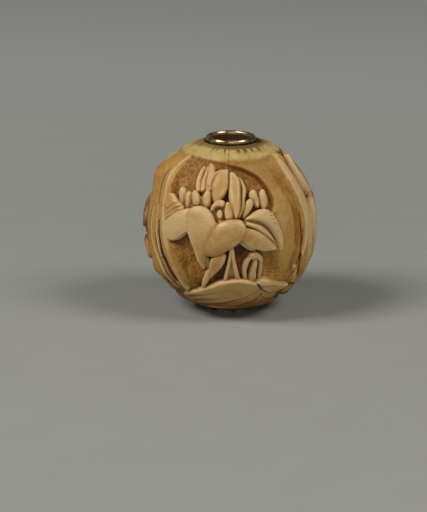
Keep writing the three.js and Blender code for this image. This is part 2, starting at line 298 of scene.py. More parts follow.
# %% Outlines of the flower, in tenths of a millimetre across and up
# name: (outline, (across, up, height) at two anchors, crown, roll)
forms = {
    "slim_left": (
        "-36.5,31 -36,40 -34,47 -31,53 -27,57 -26,54 -29,48 -31,41 -31.5,31",
        (-34, 32, 0.34), (-28, 56, 0.44), 0.12, 0.16),
    "slim_middle": (
        "-30.6,30 -30.4,39 -28,46 -25,53 -22,58 -21,55 -23,48 -25.6,41 -26,32",
        (-28, 32, 0.42), (-22, 57, 0.5), 0.12, 0.16),
    "slim_right": (
        "-25.6,31 -24.8,41 -23.2,48 -22,55 -20,61 -17.2,58 -15.8,52 -16.6,46 -19.2,39 -21.4,31",
        (-24, 32, 0.46), (-20, 60, 0.62), 0.14, 0.18),
    "bud_rim": (
        "-23,29 -23.5,35 -22,41 -19,45.5 -15,48.7 -10,50.4 -4,51 -2,49.5 -8,48 -14,46 -17,42 "
        "-19,37 -19.4,31",
        (-20, 30, 0.5), (-6, 50, 0.72), 0.1, 0.14),
    "bud_big": (
        "-17,18 -19,24 -19.3,31 -18,38 -15.5,43.5 -11.5,47.4 -7,49.6 -2.6,49.6 -1.8,43 -1.8,36 "
        "-3,31 -6,26 -10,21.4 -13,18",
        (-15, 20, 0.5), (-6, 48, 0.78), 0.3, 0.2),
    "bud_tall": (
        "-0.8,47 3,47.6 6.5,44 9,39 10,33 10,25 10,17 9.5,10 7.5,3 5,1.2 2.7,7 0.5,14 -1,21 "
        "-1.4,29 -1.2,38",
        (5, 4, 0.8), (3, 46, 0.78), 0.3, 0.2),
    "bud_right": (
        "6.5,45 10,43 13.6,38 15.8,32 15.6,26 14.6,20 14,13 12,7 9,1.6 8,4 10.2,10 11,18 "
        "11.2,26 11.2,33 9.6,39",
        (10, 3, 0.62), (9, 43, 0.56), 0.14, 0.16),
    "small_petal": (
        "-3.5,18 0,16.5 2,11.5 3,5.5 2.5,1.5 -1,0.4 -4.5,1 -5.8,6 -5.6,13",
        (-1, 2, 0.72), (-2, 17, 0.62), 0.2, 0.18),
    "curled_cap": (
        "-6.5,19 -11,20.4 -15.5,18.5 -19,14.5 -20.4,10 -18.2,9 -16,12.2 -12,13.5 -8,13 -6,15.5",
        (-18, 11, 0.66), (-7, 17, 0.62), 0.16, 0.2),
    "knob_bed": (
        "-20,8 -17,13 -10,14 -5.6,13 -5,4 -6,-1 -10,-3 -14,-1",
        (-10, -2, 0.26), (-12, 13, 0.26), 0.02, 0.1),
    "finger_bed": (
        "-49,17 -48,24 -40,24 -30,24 -22,24 -22,14 -30,13 -40,13",
        (-45, 18, 0.22), (-24, 18, 0.28), 0.02, 0.1),
    "knob": (
        "-14.8,6 -13.2,9.4 -11,10.4 -8.6,9 -7.4,5.5 -8.6,1.8 -11,0.4 -13.6,2",
        (-11, 2, 0.5), (-11, 9, 0.5), 0.16, 0.25),
    "finger_1": (
        "-53,27 -51.5,31.5 -49.7,33.6 -48,31.5 -48.2,25 -49.2,19 -50.5,16 -52.5,20",
        (-50, 18, 0.4), (-50, 32, 0.56), 0.2, 0.22),
    "finger_2": (
        "-46,26 -44,29.3 -42,28 -41.7,23 -42.5,17 -44,12.6 -46.5,13 -47,19",
        (-45, 14, 0.4), (-44, 28, 0.5), 0.2, 0.22),
    "finger_3": (
        "-39.5,27 -37,30 -34.5,28 -32.5,22 -32,17 -35,14.6 -38.5,15.5 -39.7,21.5",
        (-35, 16, 0.42), (-37, 28, 0.58), 0.22, 0.24),
    "finger_4": (
        "-28,24 -25.5,28.6 -23,30.4 -20.6,27.5 -20.4,22 -22,16 -24.5,12.2 -27,13.5 -28.6,19",
        (-25, 14, 0.46), (-23, 28, 0.64), 0.24, 0.26),
    "finger_5": (
        "15.5,15 17,19 20.5,20.7 23,18 22,13 19,8 15.5,3.5 12.5,2 13.6,8",
        (14, 4, 0.52), (20, 19, 0.6), 0.2, 0.2),
    "finger_6": (
        "20.3,27 22.5,30.4 25.5,29 28,24 29.6,18 29,13 26.5,14.6 24,19.3 21,22.4",
        (28, 15, 0.46), (23, 28, 0.6), 0.2, 0.22),
    "finger_7": (
        "30.8,27 32.8,31 35,29.5 37.5,24 38.4,18 37,12.8 33.5,11.3 31.5,17 30.4,22",
        (35, 13, 0.44), (33, 29, 0.6), 0.22, 0.22),
    "cheek": (
        "-58.5,27 -53.5,20 -48,12.6 -54,8 -61,4 -65.5,0 -67,7 -66.5,17 -63,25",
        (-52, 14, 0.62), (-66, 20, 0.86), 0.06, 0.2),
    "cheek_strip_1": (
        "-65.5,7.5 -62,12 -56,15.6 -51.4,17 -50.4,14.6 -56,12 -61.5,8 -65,3.4",
        (-66, 5, 0.84), (-52, 16, 0.7), 0.08, 0.16),
    "cheek_strip_2": (
        "-66.5,2 -61.5,7 -55.5,11 -49.5,13.6 -48.4,11 -55,8.6 -61,4.6",
        (-64, 2, 0.84), (-50, 12, 0.7), 0.08, 0.16),
    "cheek_strip_3": (
        "-65.5,16 -61,21 -57,21.7 -54.3,18.3 -58,16.6 -62.5,12.3",
        (-64, 14, 0.9), (-55, 20, 0.7), 0.08, 0.16),
    "outer_left": (
        "-42,12 -48,10.6 -54,9 -60,5 -64.5,0.5 -66.5,-6 -66.5,-12 -65.5,-17.5 -61,-19.7 "
        "-55.5,-20 -51,-17.5 -46.5,-14 -42,-11 -38,-1 -39,8",
        (-42, 0, 0.72), (-66, -6, 0.84), 0.28, 0.22),
    "centre_left": (
        "-42.7,8 -40,11.6 -35,13.8 -29,13.5 -23.5,11 -19.5,6.5 -16.5,0 -14.5,-6 -16,-15 -19,-25 "
        "-23,-35 -25.5,-43 -25.8,-49.5 -28,-50.7 -31.5,-46.5 -35,-39 -38,-29 -41.5,-19 -44.2,-9 "
        "-44.4,0",
        (-28, -48, 0.58), (-34, 12, 0.9), 0.34, 0.26),
    "centre_right": (
        "-13,-4.5 -8.5,-2 -2,0.2 5,0.5 11,-0.8 15,-5.5 16.5,-12 14,-18.5 10,-22.4 6.5,-25.4 "
        "3,-28.2 -0.5,-30 -3,-31.5 -6.5,-34 -10.5,-36.5 -17,-38 -23.5,-37.6 -28.5,-36 "
        "-30.2,-30.5 -28,-24 -24,-17.5 -19.5,-12 -16,-8",
        (-26, -34, 0.6), (12, -6, 1.0), 0.34, 0.42),
    "fold_bed": (
        "14,-1 20,1.4 28,1.4 36,-2 42,-8 46,-16 48,-24 47,-28 42,-22 36,-15 28,-10 18,-6",
        (18, -2, 0.62), (46, -22, 0.7), 0.02, 0.1),
    "lower_lobe": (
        "13,-6 17,-8 23,-9.5 29,-12 35,-16 40.5,-20.5 45,-25.5 46.3,-29 40,-30.6 33,-31 "
        "27,-29.6 21,-28.5 16.5,-25.5 12.5,-22.4 10.5,-19 10,-12",
        (12, -14, 0.8), (45, -28, 0.84), 0.28, 0.2),
    "lobe_rim": (
        "8,-21.6 13,-22.6 18,-25.2 23,-28 26,-30.7 22,-31.2 17,-29.2 12,-25.8",
        (10, -23, 0.6), (25, -30, 0.6), 0.1, 0.14),
    "thin_fold": (
        "16.5,-2.6 22,-3.6 29,-5.8 35,-9.7 40,-14.7 44,-20.5 45.8,-25.5 42,-20.7 37.5,-16.8 "
        "32,-12.8 26,-9.2 20,-6.8 16,-5.2",
        (18, -4, 0.84), (44, -22, 0.86), 0.1, 0.12),
    "upper_fold": (
        "15,0.5 19.5,4.2 24.5,7.6 30,10.2 36,10.6 41,7.6 45,2 48.5,-5.5 51,-14 52,-22 51,-28.5 "
        "48.5,-29.7 47,-25 45.5,-19.5 42.5,-13.3 38.5,-7.8 33,-3.6 27,-1.3 20.5,-0.3",
        (18, 1, 0.82), (50, -20, 1.0), 0.3, 0.22),
    "stub": (
        "-25.5,-52 -22.5,-50.6 -20,-53.5 -21,-59 -23.5,-63.5 -26,-66.5 -28.6,-65 -28,-60.5 "
        "-26.5,-56",
        (-27, -65, 0.86), (-22, -52, 0.6), 0.18, 0.22),
    "stub_neck": (
        "-25,-40 -23,-39.5 -21.5,-45 -21.5,-51 -24.5,-51 -25.6,-45",
        (-24, -50, 0.36), (-24, -41, 0.5), 0.1, 0.14),
    "side_leaf": (
        "-18,-38 -12,-36.3 -6.5,-34.6 -4.6,-37 -5.6,-42 -8.5,-47.5 -12.5,-52 -17,-56 "
        "-20.4,-59.4 -21.6,-56 -22,-51 -21.6,-46 -20.4,-41",
        (-19, -58, 0.62), (-7, -37, 0.62), 0.16, 0.18),
    "tent_left": (
        "-0.7,-28.5 1.4,-31 1,-39 -0.4,-47 -2,-54 -3,-61 -6.6,-61 -5,-53 -3,-45 -1.5,-37",
        (-4, -60, 0.76), (0, -31, 0.66), 0.14, 0.14),
    "tent_right": (
        "1.5,-28.5 3.4,-32 4.1,-39 5.6,-46 7.6,-53 10.2,-61 6.2,-61 3.6,-53 2,-45 1.3,-37",
        (8, -60, 0.76), (2, -31, 0.66), 0.14, 0.14),
    "tent_floor": (
        "1,-34 4.5,-49 7,-61 -4,-61 -1.5,-49",
        (1, -60, 0.56), (1, -36, 0.42), 0.02, 0.1),
    "blossom_left": (
        "21,-36.5 16.5,-40 13.5,-45 12.3,-51 13.5,-60 17,-60 16.3,-53 17.5,-47.5 20,-42 23,-38",
        (15, -58, 0.72), (21, -38, 0.54), 0.16, 0.16),
    "blossom_middle": (
        "24.5,-38.5 27.5,-40 27.6,-45 26.3,-51 25,-60 18.5,-60 20,-52 22.5,-45",
        (22, -58, 0.74), (26, -41, 0.56), 0.18, 0.18),
    "blossom_right": (
        "29.4,-41 32,-41 33,-46 32,-52 30,-59 27.8,-59 29.2,-52 29.8,-46",
        (29, -57, 0.68), (31, -42, 0.5), 0.14, 0.14),
    "foot_layer": (
        "-33,-83 -20,-84.2 -6,-84.6 8,-82.8 20,-78.6 30,-75 37,-77.5 43,-77 38,-82 24,-86 "
        "6,-88.4 -12,-88.4 -26,-86.6",
        (-20, -85, 0.66), (30, -78, 0.72), 0.1, 0.2),
    "foot_small": (
        "30,-69 36,-67.6 42,-68.6 46,-70 44,-74 38,-76.6 31.5,-75",
        (32, -72, 0.84), (44, -71, 0.84), 0.12, 0.22),
    "foot_under": (
        "-26,-81 -10,-80.6 2,-78.6 12,-75.4 22,-71 28.5,-67.5 31,-72 26,-77 16,-80.8 2,-83.8 "
        "-12,-84.6",
        (-20, -82, 0.78), (24, -71, 0.86), 0.14, 0.24),
    "foot_leaf": (
        "-47,-72 -38,-70.2 -28.6,-67.8 -18,-64.4 -9.6,-61.4 5,-58.8 19,-60 28,-62.6 30.4,-66 "
        "26,-69.8 19,-73 9,-76.6 -1,-79.2 -12,-80.8 -24,-80.8 -35,-79.2 -42,-76",
        (-44, -73, 0.92), (10, -66, 1.04), 0.16, 0.26),
    "foot_rim": (
        "-44,-72 -28.6,-68 -18,-64.6 -9.6,-61.6 5,-59 19,-60.2 27,-62.8 18,-63.4 5,-62.4 -8,-65 "
        "-20,-68.4 -32,-71.6",
        (-44, -72, 0.96), (18, -61, 1.12), 0.05, 0.14),
    "foot_right": (
        "25.6,-60.6 31,-58.8 42,-59.6 52,-61.6 57,-62.6 52,-66 45,-69 38,-70 31.4,-67.4 27,-64",
        (28, -62, 1.1), (55, -63, 1.0), 0.16, 0.24),
    "blossom_cap": (
        "19,-37 22,-33.8 26,-32.6 30,-33.9 32.8,-38 33.6,-42.6 31.5,-44.2 29,-41.6 25.5,-40 "
        "22,-40.6",
        (20, -38, 0.54), (31, -38, 0.56), 0.2, 0.22),
}
SKIRT = 7.0
CROWN_REACH = 0.9
SPREAD = 0.045
FINGER_SPREAD = 0.1
LIP = 0.035


def carve(relief, name, form):
    """Raise one form: the higher of what stands there and the form."""
    corners, low, high, crown, roll = form
    outline = curve_through(drawn(corners))
    area = near(outline, 0.2)
    deep, soft = depth_in(outline, area)
    deep += FINGER_SPREAD if name.startswith("finger") else SPREAD
    a, b = (np.array(anchor[:2]) * TENTH + DRAWING_SHIFT for anchor in (low, high))
    run = b - a
    t = np.clip(((drawing[area] - a) @ run) / (run @ run), -0.15, 1.15)
    width = max(0.3, min(CROWN_REACH, 0.9 * soft.max()))
    swell = 1 - (1 - np.clip(soft / width, 0, 1)) ** 2
    edge = 1 - np.clip(deep / roll, 0, 1)
    rounding = roll * (1 - np.sqrt(np.clip(1 - edge**2, 0, 1)))
    height = low[2] + (high[2] - low[2]) * t + 0.8 * crown * swell - rounding
    height += LIP * np.exp(-(((deep - 0.16) / 0.09) ** 2))
    height += np.minimum(deep, 0) * SKIRT
    relief[area] = np.maximum(relief[area], height)


# the petals that stand at the outer sides of the other two panels
side_forms = {
    "left_petal": (
        "-33,4 -39,9 -46,7 -51,-2 -53.5,-14 -52.5,-26 -49,-38 -44,-48 -38,-57 -33,-60 -32,-50 "
        "-34,-36 -35,-20 -34,-6",
        (-40, -56, 1.06), (-42, 6, 1.0), 0.08, 0.42),
    "shoulder_petal": (
        "-33,14 -39,11 -46,13 -49.5,22 -46.5,34 -41,45 -34.5,54 -31,56 -30,47 -30.5,36 -31,24",
        (-42, 14, 0.98), (-35, 50, 0.92), 0.1, 0.44),
    "upper_fold": (
        "15,0.5 19.5,3 24.5,4.8 31,5 38,3 44,-0.6 49,-5 52,-11 51,-17 47,-23 42.5,-23 40,-16 "
        "35.5,-9 29,-4 21,-1",
        (18, 1, 0.82), (48, -12, 1.06), 0.2, 0.3),
    "lower_petal": (
        "31,-38 37,-33.5 44,-32 50,-36 51,-43 48,-49 42,-52 36,-49 32,-44",
        (34, -42, 0.9), (46, -42, 1.12), 0.16, 0.24),
}
# the forms of the first panel that the other two do without
LEFT_OUT = (
    "cheek", "outer_left", "slim_left", "finger_1", "finger_2", "upper_fold", "foot_right",
)
relief = np.full(across.shape, -9.0)
side_relief = relief.copy()
for name, form in forms.items():
    carve(relief, name, form)
    if not name.startswith(LEFT_OUT):
        carve(side_relief, name, form)
for name, form in side_forms.items():
    carve(side_relief, name, form)
print("forms carved on one panel:", len(forms))

# %% [markdown]
# ## Ribs and cuts between the panels
# Ribs, cuts and a sunk strip run down between the panels. They wrap round the ball too far
# for the flat drawing, so each is a path of azimuth and height on the ball, with a half width.

# %% Paths on the ball: azimuth in degrees, height in millimetres
def on_ball(degrees, height):
    """Points on the plain ball from their azimuth and height."""
    radius = BALL_RADIUS * np.sqrt(np.maximum(0, 1 - (height / BALL_HALF_HEIGHT) ** 2))
    return round_the_bore(radius, np.radians(degrees), height)


def along(path, reach):
    """Vertices near a path, with their distance to it and their share of its length."""
    bends = curve_through(pairs(path), closed=False, step=0.6)
    line = on_ball(bends[:, 0], bends[:, 1])
    area = in_box(ball, line, reach)
    away, index = in_parts(lambda some: nearest(line, some, closed=False)[:2], ball[area])
    return area, away, index / (len(line) - 1)


ribs = [
    # path, half width at its start, middle and end, height over the ground, steepness
    ("-57,7.4 -59.5,6.2 -58,4.6 -54.5,2.4 -51.5,0.4",
     (0.3, 0.3, 0.26), 1.02, 6),
    ("-54.5,2.4 -51.5,0.4 -49.3,-1.2 -46,-2.9 -41.5,-5.6",
     (0.26, 0.4, 0.34), 0.98, 2),
    ("-68,2.2 -68,0 -66,-2 -60,-3.8 -52,-5.6",
     (0.22, 0.3, 0.3), 0.96, 3),
    ("-62,2.6 -61.4,0.6 -60,-1.0 -57.5,-2.6",
     (0.14, 0.18, 0.14), 0.92, 3),
]
side_ribs = [
    # the same between the other panels, where the photograph shows a broad band and a step
    ("-57,7.4 -59.5,6.2 -58,4.6 -54.5,2.4 -50,-0.6 -46,-2.7 -41.5,-5.6",
     (0.55, 1.0, 0.55), 1.0, 2.4),
    ("-56.2,1.9 -56.8,0.6 -58.4,-1.0 -60.5,-2.4",
     (0.4, 0.4, 0.22), 1.04, 6),
    ("-67,-3.4 -63,-4.3 -58,-5.2",
     (0.3, 0.4, 0.3), 0.96, 3),
]
front_cuts = [
    # path, half width at its start, middle and end, depth
    ("-58.6,1.6 -57,-1.0 -55,-2.6 -50.6,-4.2 -45,-5.9", (0.1, 0.36, 0.42), 0.5),
    ("-63,2.4 -63,0 -62,-2 -57.5,-3.9 -50,-5.8", (0.12, 0.15, 0.15), 0.3),
    ("-72,3.0 -73,0 -71,-2.4 -64,-4.4", (0.12, 0.12, 0.12), 0.2),
    ("-67.5,6.2 -66,4.4 -62.5,2.4", (0.12, 0.13, 0.1), 0.16),
    ("-76,1.0 -76,-1.5 -72,-3.6", (0.1, 0.1, 0.1), 0.12),
    ("58.2,0.6 57,-1.6 54.6,-3.8 50,-5.2", (0.12, 0.16, 0.16), 0.3),
    ("47.5,4.0 49.0,2.6 49.8,1.0 50,-0.6", (0.14, 0.2, 0.14), 0.07),
    ("62,7.2 66,6.3 69,5.4", (0.1, 0.16, 0.1), 0.2),
]
side_cuts = [
    ("-50,1.9 -45,0.2 -43,-1.4 -47,-3.6", (0.14, 0.18, 0.14), 0.34),
    ("-64,2.4 -64,0 -63,-2 -58.5,-3.9 -50,-5.8", (0.12, 0.2, 0.2), 0.34),
]


def width_along(t, widths):
    """The half width at a share of the path, from those at its start, middle and end."""
    return np.interp(t, [0, 0.4, 1], widths)


def thin_ends(t):
    """1 along a path, and down to 0 over its last eighth at both ends."""
    return np.clip(np.minimum(t, 1 - t) / 0.12, 0, 1)


def raised(paths):
    """Ribs along paths: how high they stand over the ground."""
    standing = np.full(across.shape, -9.0)
    for path, widths, height, steepness in paths:
        area, away, t = along(path, max(widths) + 0.4)
        half_width = width_along(t, widths)
        middle = np.clip(away / half_width, 0, 1)
        level = height - 0.3 * (1 - np.sqrt(1 - middle**2))
        level += np.minimum(half_width - away, 0) * steepness
        standing[area] = np.maximum(standing[area], level)
    return standing


def cut(paths):
    """V-shaped cuts along paths: their depth, and the dirt that fills them."""
    depth_there, dirt_there = np.zeros(across.shape), np.zeros(across.shape)
    for path, widths, depth in paths:
        area, away, t = along(path, max(widths) + 0.2)
        half_width = width_along(t, widths)
        ends = np.sqrt(thin_ends(t))
        share = np.clip(1 - away / half_width, 0, 1)
        v_cut = depth * ends * half_width / max(widths) * share**0.7
        depth_there[area] = np.maximum(depth_there[area], v_cut)
        dirt = np.clip(4 * share, 0, 1) * ends * min(1, depth / 0.5)
        dirt_there[area] = np.maximum(dirt_there[area], dirt)
    return np.stack([depth_there, dirt_there])


front_cut, side_cut = cut(front_cuts), cut(side_cuts)

strip_path = "46,7.1 47.5,5.2 52,2.7 51.5,0 50,-2.7 47,-5.2"
area, away, t = along(strip_path, 1.2)
strip = np.zeros(across.shape)
strip_width = 1.05 - 0.3 * np.clip(1.6 * t, 0, 1)
strip[area] = step_up((strip_width - away) / 0.6) * thin_ends(t)
print("paths laid on the ball:", len(ribs + side_ribs + front_cuts + side_cuts) + 1)

# %% [markdown]
# ## Three panels, ground stipple and a hand's unevenness
# The photograph shows one panel and the edges of two more, spaced by a third of a turn, so
# the fields of the first panel are rolled round twice. The ground was roughened with a punch
# and nothing is quite even, so small pits and a slow waver are added over the whole ball.

# %% Combine the panels
TURN = COLUMNS // PANELS
OUTLINE_LENGTH = 17.8
MEAN_RADIUS = 8.8
LATTICE_ROWS = 96
HEM = 0.34


def all_round(field, join=np.maximum):
    """Repeat the first panel's field on every panel."""
    return join.reduce([np.roll(field, TURN * k, axis=1) for k in range(PANELS)])


ground = all_round(ground, np.minimum)
relief = np.maximum(relief, raised(ribs))
side_relief = np.maximum(side_relief, raised(side_ribs))
for panel in (1, 2):
    relief = np.maximum(relief, np.roll(side_relief, TURN * panel, axis=1))
    front_cut = np.maximum(front_cut, np.roll(side_cut, TURN * panel, axis=2))
cut_depth, cut_dirt = front_cut
strip = np.maximum(strip, np.roll(strip, TURN, axis=1))
in_window, soft_side, arc = (all_round(field) for field in (in_window, soft_side, arc))


def blurred(field, millimetres):
    """A soft average over the ball's grid: the azimuth wraps, the rows do not."""
    rows = np.concatenate([field[::-1], field, field[::-1]])
    f = np.fft.rfft2(rows)
    down = np.fft.fftfreq(rows.shape[0], OUTLINE_LENGTH / BALL_ROWS)[:, None]
    around = np.fft.rfftfreq(rows.shape[1], CELL)[None, :]
    f *= np.exp(-2 * (math.pi * millimetres) ** 2 * (down**2 + around**2))
    return np.fft.irfft2(f, rows.shape)[BALL_ROWS : 2 * BALL_ROWS]


def waver(millimetres):
    """Slow random unevenness of a given size, between about -1 and 1."""
    noise = blurred(rng.standard_normal(across.shape), millimetres)
    return noise / (2.0 * noise.std())


def pits(pitch, size):
    """Round pits on a jittered lattice, 1 in the middle of a pit."""
    girth = 2 * math.pi * BALL_RADIUS
    count = PANELS * round(girth / pitch / PANELS)
    x = (azimuth + math.pi) / (2 * math.pi) * count + np.zeros(across.shape)
    y = latitude * MEAN_RADIUS / pitch + 40 + np.zeros(across.shape)
    jitter = rng.random((LATTICE_ROWS, count, 2))
    column, row = np.floor(x).astype(int), np.floor(y).astype(int)
    best = np.full(x.shape, 9.0)
    squeeze = np.cos(latitude)
    for i in (-1, 0, 1):
        for j in (-1, 0, 1):
            pit = jitter[(row + j) % LATTICE_ROWS, (column + i) % count]
            dx = (column + i + pit[..., 0] - x) * squeeze
            dy = row + j + pit[..., 1] - y
            best = np.minimum(best, np.hypot(dx, dy))
    return np.clip(1 - best * pitch / size, 0, 1)


def below(level, width):
    """A soft step that is 1 under a level of the ball."""
    return step_up((level - ball[..., 2]) / width)


punched = pits(0.42, 0.26)
strip_pits = pits(0.5, 0.24)
floor_share = np.clip(1 - ground / (0.5 * RELIEF), 0, 1)
base = ground + 0.05 * waver(0.35) * floor_share - 0.07 * punched * floor_share
base -= 0.36 * below(-4.7, 0.6) * np.clip(base, 0, 1)
base -= strip * (0.06 + 0.02 * strip_pits + 0.03 * waver(0.4)) * (ground > 0.9 * BAND_LEVEL)
height = np.maximum(base, relief) - cut_depth
height += 0.026 * waver(0.5) + 0.017 * waver(0.18)
collar_distance = MEAN_RADIUS * (edge_angle - np.abs(latitude)) + np.zeros(across.shape)
hem = HEM + 0.12 * waver(0.45)[BALL_ROWS // 2][None, :]
on_hem = step_up((hem - collar_distance) / HEM + 0.5)
height += (RELIEF - height) * on_hem
print("height over the ground runs from", round(height.min(), 2), "to", round(height.max(), 2))

# %% Swell the whole ball a little
def swelling(middle_latitude, rows_wide, middle_azimuth=0.0, columns_wide=400.0):
    """A slow swelling of the whole ball; all four values are in degrees."""
    off = (np.degrees(latitude) - middle_latitude) / rows_wide
    round_off = ((np.degrees(azimuth) - middle_azimuth + 180) % 360 - 180) / columns_wide
    return np.exp(-(off**2) - round_off**2)


def swellings(table):
    """Swellings added up; each row is a strength and the values of one swelling."""
    return sum(strength * swelling(*place) for strength, *place in table)


swells = swellings([
    (0.6, 35, 9.5, -92, 34), (0.26, 49, 7, 84, 24), (0.36, -55, 7), (0.2, -60, 9, 45, 40),
    (0.5, -31, 9, -86, 30), (0.26, -31, 14, 86, 34),
])
swells *= np.clip(collar_distance / 0.8, 0, 1)
print("the ball swells by up to", round(swells.max(), 2), "mm")

# %% [markdown]
# ## Marks that colour the ivory
# Old ivory is pale where hands have polished it, ochre in the sunk ground and dark brown in
# the narrow cuts that hold grime. Painted shade browns the hollows, the places under edges and
# the foot, and painted highlight lightens the edges. Eight numbers per vertex carry that to
# the material. Four are marks: blush, grime with painted shade, stain with painted shade, and
# wear with painted highlight. Four choose the tone: on the band between the panels, on a
# collar, on the sunk strip and on a raised form.

# %% The crack, the creases and the darkest places
def scratch(line, half_width, places=drawing, mask=facing > FRONT):
    """How strongly a thin drawn line marks each place."""
    path = curve_through(drawn(line), closed=False)
    area = mask & in_box(places, path, 0.3)
    mark = np.zeros(mask.shape)
    if area.any():
        away, index, _ = nearest(path, places[area], closed=False)
        taper = 1 - 0.6 * index / (len(path) - 1)
        mark[area] = np.clip(1 - away / half_width, 0, 1) * taper
    return mark


def scratches(lines, half_width):
    """Several drawn lines as one mark on every panel."""
    return all_round(np.clip(sum(scratch(line, half_width) for line in lines), 0, 1))


def spot(across_at, up_at, wide, high):
    """A soft round mark in the drawing, on the front only."""
    off = ((across - across_at) / wide) ** 2 + ((up - up_at) / high) ** 2
    return np.exp(-off) * (facing > 0)


CRACK_WIDTH = 0.075
crack = "-1.6,73 -1.4,66 -1.8,60 -1.5,52 -1.9,44 -1.6,34"
crack_mark = scratch(crack, CRACK_WIDTH)
creases = [
    # the fine cuts on the right petal, the comb right of the blossom, the veins of the foot leaf
    "38,7.4 43,6.4 48,4", "39,4.4 44,3.4 49.4,0.6", "40,1 45,0 50,-3", "42,-3 46,-4.6 50.6,-7.4",
    "30,9 34,8.6 38,5.6 40,3", "36,-36 34,-44 36,-52", "40,-36 39,-45 40,-54",
    "44.5,-37 44,-46 45,-55", "36,-50 41,-48.5", "36.5,-52.5 42,-51", "37,-55 43,-53.5",
    "44,-50 48,-48", "44.5,-53 49,-51", "45,-56 50,-54", "-40,-74 -25,-72.5 -8,-70 8,-66.5",
    "-34,-77 -18,-76.5 0,-74.5", "24,-59 36,-60.5 48,-60.5", "28,-63.5 38,-64 46,-63",
]
# painted shade: these lines are cut in and browned hard, as the shade below the leaf edges
deep_creases = [
    # the lower edge of the right foot leaf, that of the main one, and the small leaf's stem
    "27,-62 31,-67 38,-70.6 45,-69.8 53,-66.4",
    "-42,-76.6 -35,-79.8 -24,-81.2 -12,-81.2 0,-79.6 10,-76.8 20,-73 28,-68",
    "-22,-85 -8,-85.2 4,-84 16,-81.2 26,-77.4 31,-72.6",
]
dark_holes = [
    # the deep places that the photograph shows nearly black
    "-7,-41 -4,-48 -6.5,-60 -18,-61.5 -14,-55 -9,-48",
    "4.6,-30 11,-28 17,-30.5 15,-36 9,-41 6,-37", "-9.4,25 -4,26.5 -2.6,20 -7,18.4",
    "15.6,26.4 19.8,27 19.6,21.6 16.2,20.6",
]
# painted shade: these holes are marked nearly black, as the shade in deep places
hole_mark = np.zeros(across.shape)
for hole in dark_holes:
    outline = curve_through(drawn(hole))
    area = near(outline, 0.2)
    deep, _ = depth_in(outline, area)
    hole_mark[area] = np.maximum(hole_mark[area], step_up((deep + 0.08) / 0.2))
hole_mark = all_round(hole_mark)
deep_mark, crease_mark = scratches(deep_creases, 0.16), scratches(creases, 0.11)
height -= 0.05 * crack_mark + 0.08 * crease_mark + 0.2 * deep_mark
print("lines drawn on each panel:", len(creases + deep_creases))

# %% Grime and painted shade in the hollows, wear and painted highlight on the heights
hollow = np.clip((blurred(height, 0.16) - height) / 0.34 - 0.1, 0, 1)
wide_hollow = np.clip((blurred(height, 0.6) - height) / 0.9, 0, 1)
# grime and painted shade: the further a place lies below its surroundings, near and wide, the more
# it is marked
grime_and_shade = 0.64 * hollow + 0.74 * wide_hollow
grime_and_shade *= 1 - 0.6 * swelling(24, 24, 76, 16)
# the cuts hold dirt; the deep creases add painted shade
grime_and_shade = np.clip(grime_and_shade * (1 - 0.85 * soft_side) + 0.9 * cut_dirt + 0.6 * deep_mark, 0, 1)
clean_join = scratch("-10,-3 -16,-11 -22,-20 -29,-31", 0.55)
grime_and_shade *= 1 - 0.9 * np.clip(2.2 * clean_join, 0, 1)
form = np.clip((relief - base) / 0.03, 0, 1)
bare = (1 - on_hem) * (1 - form)
grime_and_shade = np.clip(grime_and_shade + 0.6 * hole_mark * (1 - form), 0, 1)
# browner at both flanks, towards the bottom and at some places of the bare ground, with painted
# shade at the foot, under it and just below the collar
blotch_and_shade = swellings([
    (1.25, -2, 22, -92, 12), (0.7, -2, 30, 95, 11), (0.24, -50, 9), (0.55, -36, 14, -64, 26),
    (0.35, -42, 12, 74, 20),
])
# painted shade: the lowest part of the ball faces down and is darkest just above the table; the
# middle term is the foot leaf's own warmer tone
blotch_and_shade += 0.55 * below(-6.2, 1.2) + 0.12 * below(-5.6, 0.6) + 0.5 * below(-7.5, 0.5)
blotch_and_shade += swellings([(0.36, 47, 9, 20, 30), (0.26, 38, 11, 38, 15)]) * bare
blotch_and_shade += 0.3 * swelling(-28, 13, -26, 18) * (1 - form)
blotch_and_shade += 0.3 * spot(-1.4, -4.9, 0.6, 1.1)
# painted shade just below the collar's hem
blotch_and_shade += 0.3 * np.exp(-(((collar_distance - 0.6) / 0.5) ** 2)) * bare
stain_and_shade = (0.5 * punched * floor_share + 0.85 * arc) * (1 - 0.85 * soft_side)
stain_and_shade = np.clip(stain_and_shade * (1 - form) + 0.8 * crack_mark + 0.5 * crease_mark + blotch_and_shade, 0, 1)
# worn and painted highlight on every edge, on three broad petals and on the forms at the right
# flank, where they are lit
worn_and_lit = np.clip((height - blurred(height, 0.3)) / 0.22, 0, 1)
worn_and_lit += 1.2 * spot(-5.6, -0.7, 1.2, 1.3) + 0.9 * spot(3.9, -0.2, 1.4, 1.5)
worn_and_lit += 0.4 * spot(-3.0, -0.4, 1.3, 1.6)
worn_and_lit += swellings([(0.45, 30, 24, 63, 9), (0.6, 8, 28, 70, 11)]) * form
blush = spot(-1.6, 0.4, 0.8, 1.3)
pale = np.clip(form + swellings([(0.5, 14, 17, 41, 6), (0.5, 4, 26, 68, 9)]), 0, 1)
banded = 1 - in_window * (1 - 0.55 * soft_side)
print("share of the ball that is hollow:", round(float((grime_and_shade > 0.3).mean()), 3))

# %% [markdown]
# ## The carved body as one mesh
# The grid's outer rows are pushed out by the carved height. The collars, mouths and bore
# follow as plain turned rows, a little uneven. The rows close on themselves, so the mesh is
# watertight. It is then thinned to about 340,000 triangles, which keeps them where the
# carving needs them.

# %% Build the grid
def turned_rows(profile):
    """Rings of one radius and height each, as rows of the grid."""
    ring = np.array(profile, float)
    return round_the_bore(ring[:, :1], azimuth, ring[:, 1:])


